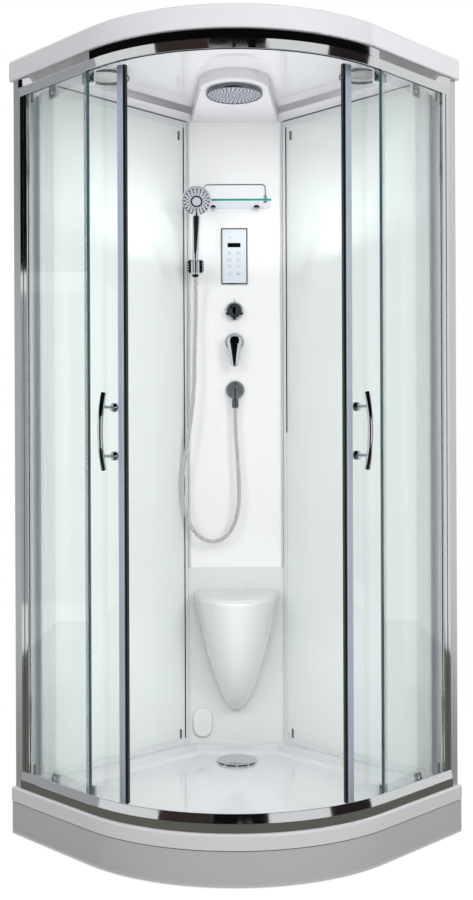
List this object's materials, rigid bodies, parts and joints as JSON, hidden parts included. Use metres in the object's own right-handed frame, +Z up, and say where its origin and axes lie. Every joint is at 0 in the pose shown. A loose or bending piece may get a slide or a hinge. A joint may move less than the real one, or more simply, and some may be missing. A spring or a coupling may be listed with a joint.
{
  "type": "steam shower cabin",
  "caption": "Quadrant steam shower cabin: curved sliding glass doors, low tray, closed roof, corner column with seat, valves, hand shower on a hose, shelf and controls.",
  "frame": {"origin": "on the floor, under the middle of the bounding box; the doors are slid open at rest", "axes": "+Z up, -Y towards the curved front, +X to the right seen from the front, room corner at +Y"},
  "size_m": [1.2728, 1.0448, 2.216],
  "materials": {
    "acrylic_tray": "smooth white acrylic",
    "acrylic_roof": "smooth white acrylic",
    "seat_shell": "smooth white acrylic",
    "column_white": "smooth white",
    "frame_steel": "grey paint",
    "foot_steel": "zinc plated",
    "waste_plastic": "moulded",
    "chrome_trim": "polished",
    "chrome_plastic": "chrome plated",
    "wall_glass": "pale backed safety glass",
    "clear_glass": "clear safety glass",
    "satin_aluminium": "satin anodised",
    "bright_aluminium": "bright anodised",
    "dark_clip": "moulded",
    "clear_seal": "translucent",
    "black_seal": "black",
    "nylon": "moulded nylon",
    "lens": "frosted",
    "fan_plastic": "moulded",
    "panel_face": "printed membrane",
    "case_plastic": "moulded",
    "brass_body": "cast",
    "pipe": "moulded pipe",
    "steel_wire": "polished wire",
    "hose_steel": "metallic wound skin"
  },
  "bodies": {
    "cabin": {"tray": "acrylic_tray", "apron": "acrylic_tray", "tray_frame": "frame_steel", "levelling_feet": "foot_steel", "waste_trap": "waste_plastic", "wall_panel_right": "wall_glass", "wall_panel_left": "wall_glass", "wall_frames": "satin_aluminium", "panel_clips": "dark_clip", "column_panel": "column_white", "column_frame": "satin_aluminium", "column_trims": "bright_aluminium", "seat_module": "seat_shell", "steam_outlet": "chrome_plastic", "wall_posts": "satin_aluminium", "glazing_strips": "bright_aluminium", "top_rail": "bright_aluminium", "bottom_rail": "bright_aluminium", "fixed_glass_right": "clear_glass", "fixed_glass_left": "clear_glass", "fixed_seals": "clear_seal", "roof": "acrylic_roof", "rain_head": "chrome_plastic", "fixture_rings": "chrome_plastic", "light_lens": "lens", "fan_housing": "fan_plastic", "control_bezel": "chrome_plastic", "control_face": "panel_face", "control_box": "case_plastic", "valve_rosettes": "chrome_trim", "hose_outlet": "chrome_trim", "valve_block": "brass_body", "water_pipes": "pipe", "steam_generator": "case_plastic", "shelf_glass": "clear_glass", "shelf_rail": "steel_wire", "holder_bracket": "chrome_plastic", "shower_hose": "hose_steel"},
    "waste_cover": {"waste_cover": "chrome_plastic"},
    "fan_rotor": {"fan_rotor": "fan_plastic"},
    "diverter_knob": {"diverter_knob": "chrome_plastic"},
    "mixer_cap": {"mixer_cap": "chrome_trim"},
    "mixer_lever": {"mixer_lever": "chrome_trim"},
    "holder_cradle": {"holder_cradle": "chrome_plastic"},
    "handset": {"handset": "chrome_plastic"},
    "door_right": {"door_glass_right": "clear_glass", "handle_right": "chrome_trim", "magnetic_seal_right": "black_seal", "edge_seals_right": "clear_seal", "roller_carriers_right": "chrome_plastic"},
    "front_wheel_right": {"front_wheel_right": "nylon"},
    "rear_wheel_right": {"rear_wheel_right": "nylon"},
    "door_left": {"door_glass_left": "clear_glass", "handle_left": "chrome_trim", "magnetic_seal_left": "black_seal", "edge_seals_left": "clear_seal", "roller_carriers_left": "chrome_plastic"},
    "front_wheel_left": {"front_wheel_left": "nylon"},
    "rear_wheel_left": {"rear_wheel_left": "nylon"}
  },
  "joints": [
    {"name": "door_right_slide", "type": "hinge", "parent": "cabin", "child": "door_right", "pos_m": [-0.18398, 0.32959, 1.1], "axis": [0, 0, -1], "range_deg": [0, 21.7]},
    {"name": "front_wheel_right_spin", "type": "hinge", "parent": "door_right", "child": "front_wheel_right", "pos_m": [0.4024, -0.30265, 2.1122], "axis": [0.5864, -0.81, 0], "continuous": true},
    {"name": "rear_wheel_right_spin", "type": "hinge", "parent": "door_right", "child": "rear_wheel_right", "pos_m": [0.51826, -0.18679, 2.1122], "axis": [0.81, -0.5864, 0], "continuous": true},
    {"name": "door_left_slide", "type": "hinge", "parent": "cabin", "child": "door_left", "pos_m": [0.18398, 0.32959, 1.1], "axis": [0, 0, 1], "range_deg": [0, 21.7]},
    {"name": "front_wheel_left_spin", "type": "hinge", "parent": "door_left", "child": "front_wheel_left", "pos_m": [-0.4024, -0.30265, 2.1122], "axis": [0.5864, 0.81, 0], "continuous": true},
    {"name": "rear_wheel_left_spin", "type": "hinge", "parent": "door_left", "child": "rear_wheel_left", "pos_m": [-0.51826, -0.18679, 2.1122], "axis": [0.81, 0.5864, 0], "continuous": true},
    {"name": "waste_cover_lift", "type": "slide", "parent": "cabin", "child": "waste_cover", "axis": [0, 0, 1], "range_m": [0, 0.05]},
    {"name": "fan_spin", "type": "hinge", "parent": "cabin", "child": "fan_rotor", "pos_m": [0.37194, -0.01633, 2.187], "axis": [0, 0, 1], "continuous": true},
    {"name": "diverter_turn", "type": "hinge", "parent": "cabin", "child": "diverter_knob", "pos_m": [-0.0025, 0.33, 1.534], "axis": [0, -1, 0], "range_deg": [-60, 60]},
    {"name": "mixer_turn", "type": "hinge", "parent": "cabin", "child": "mixer_cap", "pos_m": [-0.0025, 0.33, 1.433], "axis": [0, -1, 0], "range_deg": [-45, 45]},
    {"name": "mixer_lift", "type": "hinge", "parent": "mixer_cap", "child": "mixer_lever", "pos_m": [-0.0025, 0.32319, 1.445], "axis": [-1, 0, 0], "range_deg": [0, 25]},
    {"name": "holder_tilt", "type": "hinge", "parent": "cabin", "child": "holder_cradle", "pos_m": [-0.126, 0.30418, 1.67876], "axis": [1, 0, 0], "range_deg": [0, 25], "deforming": ["shower_hose"]},
    {"name": "handset_lift", "type": "slide", "parent": "holder_cradle", "child": "handset", "axis": [0, -0.342, 0.9397], "range_m": [0, 0.06], "deforming": ["shower_hose"]}
  ],
  "couplings": [
    {"joint": "front_wheel_right_spin", "follows": "door_right_slide", "ratio": 86.231},
    {"joint": "rear_wheel_right_spin", "follows": "door_right_slide", "ratio": 87.166},
    {"joint": "front_wheel_left_spin", "follows": "door_left_slide", "ratio": 86.231},
    {"joint": "rear_wheel_left_spin", "follows": "door_left_slide", "ratio": 87.166}
  ]
}
